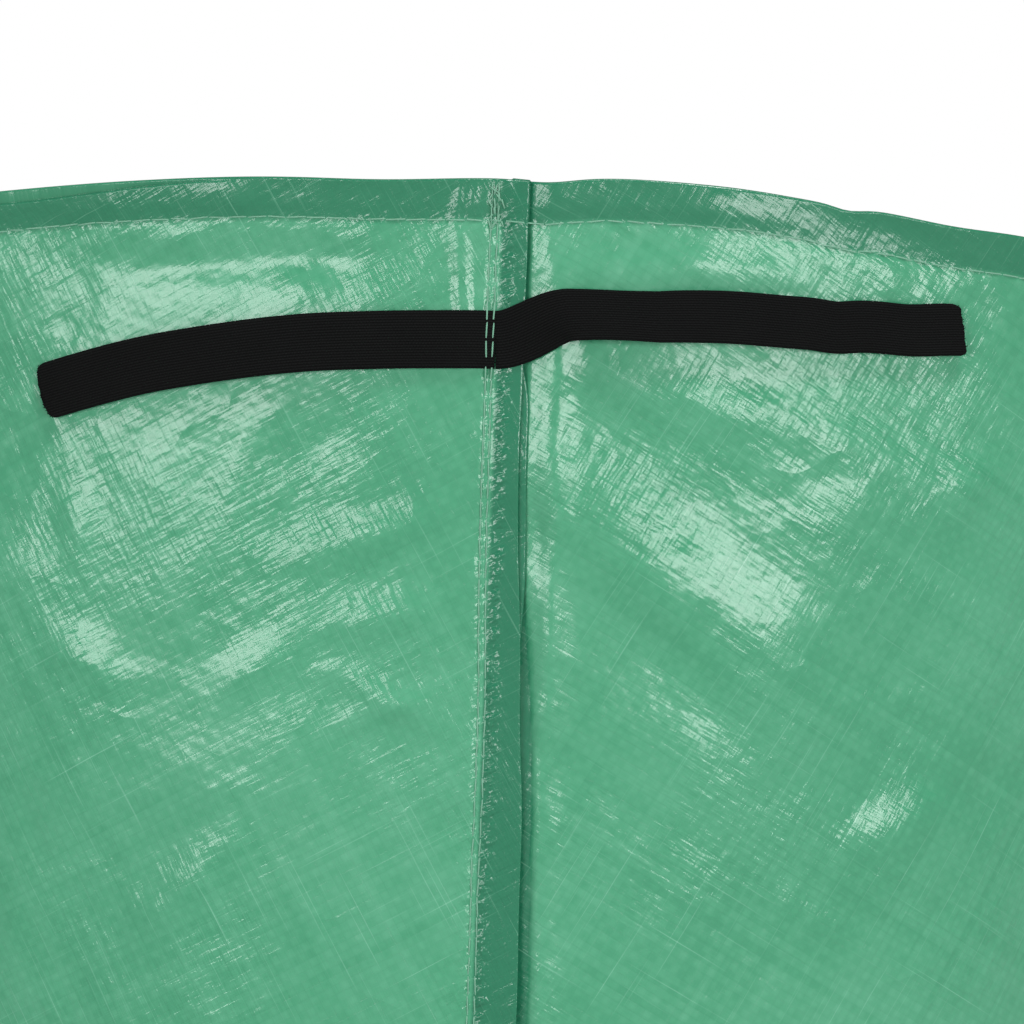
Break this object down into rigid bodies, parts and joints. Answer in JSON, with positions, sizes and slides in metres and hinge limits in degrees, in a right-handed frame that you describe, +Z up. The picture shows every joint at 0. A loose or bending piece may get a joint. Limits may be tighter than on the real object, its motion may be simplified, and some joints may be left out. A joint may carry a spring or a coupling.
{
  "type": "fabric grow bag",
  "caption": "Large tapered round grow bag of coated woven tarpaulin with an open hemmed rim, lapped side seams, elastic ties, webbing handles and drain eyelets.",
  "frame": {"origin": "under the middle of the round base, on the surface that the bag stands on", "axes": "+Z up towards the open mouth; the front lap seam with its elastic tie faces -Y, and the handles are at +X and -X"},
  "size_m": [1.0188, 1.001, 0.5106],
  "materials": {
    "tarpaulin": "glossy coated woven tapes",
    "thread": "matt",
    "elastic": "matt ribbed",
    "webbing": "satin woven",
    "nickel": "bright"
  },
  "bodies": {
    "bag": {"wall_panel_left": "tarpaulin", "wall_panel_right": "tarpaulin", "base_panel": "tarpaulin", "hem_thread": "thread", "base_seam_thread": "thread", "front_lap_thread_left": "thread", "front_lap_thread_right": "thread", "back_lap_thread_left": "thread", "back_lap_thread_right": "thread", "front_tie_middle": "elastic", "back_tie_middle": "elastic", "left_handle_end_1": "webbing", "left_handle_end_2": "webbing", "left_handle_thread_1": "thread", "left_handle_thread_2": "thread", "right_handle_end_1": "webbing", "right_handle_end_2": "webbing", "right_handle_thread_1": "thread", "right_handle_thread_2": "thread", "drain_eyelet_1": "nickel", "drain_eyelet_2": "nickel", "drain_eyelet_3": "nickel", "drain_eyelet_4": "nickel", "drain_eyelet_5": "nickel", "drain_eyelet_6": "nickel", "drain_washer_1": "nickel", "drain_washer_2": "nickel", "drain_washer_3": "nickel", "drain_washer_4": "nickel", "drain_washer_5": "nickel", "drain_washer_6": "nickel"},
    "front_tie_left": {"front_tie_left": "elastic"},
    "front_tie_right": {"front_tie_right": "elastic"},
    "back_tie_left": {"back_tie_left": "elastic"},
    "back_tie_right": {"back_tie_right": "elastic"},
    "left_handle": {"left_handle_loop": "webbing"},
    "right_handle": {"right_handle_loop": "webbing"}
  },
  "joints": [
    {"name": "front_tie_left_swing", "type": "hinge", "parent": "bag", "child": "front_tie_left", "pos_m": [-0.00367, -0.48374, 0.45759], "axis": [0, -0.3333, 0.9428], "range_deg": [0, 90]},
    {"name": "front_tie_right_swing", "type": "hinge", "parent": "bag", "child": "front_tie_right", "pos_m": [0.00367, -0.48374, 0.45759], "axis": [0, 0.3333, -0.9428], "range_deg": [0, 90]},
    {"name": "back_tie_left_swing", "type": "hinge", "parent": "bag", "child": "back_tie_left", "pos_m": [0.00367, 0.48374, 0.45759], "axis": [0, 0.3333, 0.9428], "range_deg": [0, 90]},
    {"name": "back_tie_right_swing", "type": "hinge", "parent": "bag", "child": "back_tie_right", "pos_m": [-0.00367, 0.48374, 0.45759], "axis": [0, -0.3333, -0.9428], "range_deg": [0, 90]},
    {"name": "left_handle_swing", "type": "hinge", "parent": "bag", "child": "left_handle", "pos_m": [-0.49441, 0, 0.4907], "axis": [0, 1, 0], "range_deg": [0, 155]},
    {"name": "right_handle_swing", "type": "hinge", "parent": "bag", "child": "right_handle", "pos_m": [0.49441, 0, 0.4907], "axis": [0, -1, 0], "range_deg": [0, 155]}
  ]
}
